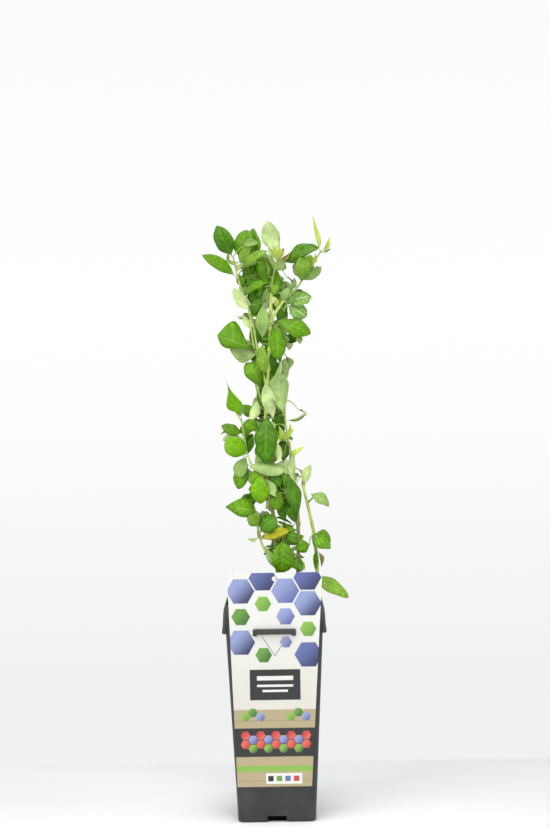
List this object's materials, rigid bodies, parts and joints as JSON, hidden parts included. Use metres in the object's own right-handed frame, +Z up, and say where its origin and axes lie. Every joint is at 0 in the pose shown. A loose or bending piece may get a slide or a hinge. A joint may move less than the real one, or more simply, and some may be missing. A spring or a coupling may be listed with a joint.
{
  "type": "blueberry bush in a pot",
  "caption": "Young leafy blueberry bush with slender upright stems in a tall square black nursery pot, with a printed card label held by the pot's front clip.",
  "frame": {"origin": "centre of the pot's flat underside", "axes": "+Z up, -Y is the front that carries the label, +X to the right seen from the front"},
  "size_m": [0.149, 0.111, 0.644],
  "materials": {
    "pot_plastic": "black moulded polypropylene, satin",
    "peat": "moist peat potting soil, rough",
    "card": null,
    "bark": "green young bark turning brown at the foot",
    "leaves": "satin green leaves with paler undersides"
  },
  "bodies": {
    "root": {"pot": "pot_plastic", "soil": "peat", "label": "card", "stem_centre": "bark", "stem_middle": "bark", "stem_right": "bark", "stem_low_left": "bark", "bough_left": "bark", "bough_upright": "bark", "bough_mid_left": "bark", "foliage_top_left": "leaves", "foliage_top_middle": "leaves", "foliage_top_right": "leaves", "foliage_upper_left": "leaves", "foliage_upper_middle": "leaves", "foliage_upper_right": "leaves", "foliage_mid_left": "leaves", "foliage_centre_left": "leaves", "foliage_centre": "leaves", "foliage_front": "leaves", "foliage_low_right": "leaves", "foliage_far_right": "leaves", "foliage_inner_right": "leaves", "foliage_low_middle": "leaves", "foliage_base_left": "leaves", "foliage_base_middle": "leaves", "foliage_base_right": "leaves", "foliage_foot_right": "leaves", "foliage_rear_top": "leaves", "foliage_rear_upper": "leaves", "foliage_rear_middle": "leaves", "foliage_rear_low": "leaves", "foliage_rear_base": "leaves"}
  },
  "joints": []
}
